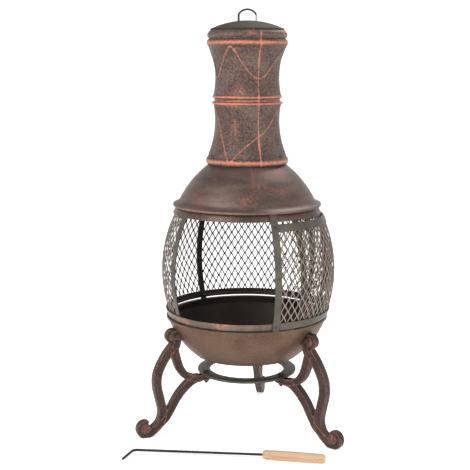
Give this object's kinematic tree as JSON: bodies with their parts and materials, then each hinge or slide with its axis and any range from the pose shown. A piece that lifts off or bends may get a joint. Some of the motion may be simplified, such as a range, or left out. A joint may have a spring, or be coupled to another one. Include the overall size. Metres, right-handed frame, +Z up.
{
  "type": "chiminea",
  "caption": "Steel and cast-iron garden chiminea: round mesh fire chamber with sliding mesh door, dished bowl on scrolled legs, cone hood, waisted flue, lift-off lid and poker.",
  "frame": {"origin": "on the ground under the vertical axis of the bowl, barrel and flue", "axes": "+Z up, -Y towards the front opening between the two front legs, +X to the right seen from the front"},
  "size_m": [0.4992, 0.5655, 1.0147],
  "materials": {
    "antique_cast": "dark bronze paint with copper-rubbed high edges",
    "antique_steel": "dark bronze paint with copper-rubbed streaks",
    "black_mesh": "satin heat-proof black-brown paint",
    "grey_steel": "satin green-grey heat-proof paint",
    "black_wire": "satin black paint",
    "fasteners": "bronze-painted steel",
    "turned_wood": "bare pale turned beech, satin"
  },
  "bodies": {
    "stand": {"brace_bolts": "fasteners", "brace_nuts": "fasteners", "fire_bowl": "antique_cast", "flue_lower": "antique_cast", "flue_screws": "fasteners", "flue_upper": "antique_cast", "hood": "antique_steel", "hood_bracket_front_left": "antique_steel", "hood_bracket_front_right": "antique_steel", "hood_bracket_rear_left": "antique_steel", "hood_bracket_rear_right": "antique_steel", "leg_bolts": "fasteners", "leg_front_left": "antique_cast", "leg_front_right": "antique_cast", "leg_nuts": "fasteners", "leg_rear": "antique_cast", "lower_ring": "antique_steel", "mesh_panel_left": "black_mesh", "mesh_panel_rear": "black_mesh", "mesh_panel_right": "black_mesh", "post_front_left": "antique_steel", "post_front_right": "antique_steel", "post_rear_left": "antique_steel", "post_rear_right": "antique_steel", "ring_brace": "grey_steel", "ring_rivets": "fasteners", "upper_ring": "antique_steel"},
    "lid": {"lid_clips": "grey_steel", "lid_dome": "grey_steel", "lid_handle": "black_wire", "lid_handle_nuts": "fasteners"},
    "door": {"door_mesh": "black_mesh", "door_rail_bottom": "grey_steel", "door_rail_top": "grey_steel", "door_rivets": "fasteners", "door_stile_lead": "grey_steel", "door_stile_trail": "grey_steel"},
    "poker": {"poker_handle": "turned_wood", "poker_rod": "black_wire"}
  },
  "joints": [
    {"name": "lid_lift", "type": "slide", "parent": "stand", "child": "lid", "axis": [0, 0, 1], "range_m": [0, 0.3]},
    {"name": "door_slide", "type": "hinge", "parent": "stand", "child": "door", "pos_m": [0, 0, 0.42], "axis": [0, 0, 1], "range_deg": [-75, 17]},
    {"name": "poker_lift", "type": "slide", "parent": "stand", "child": "poker", "axis": [0, 0, 1], "range_m": [0, 0.4]}
  ]
}
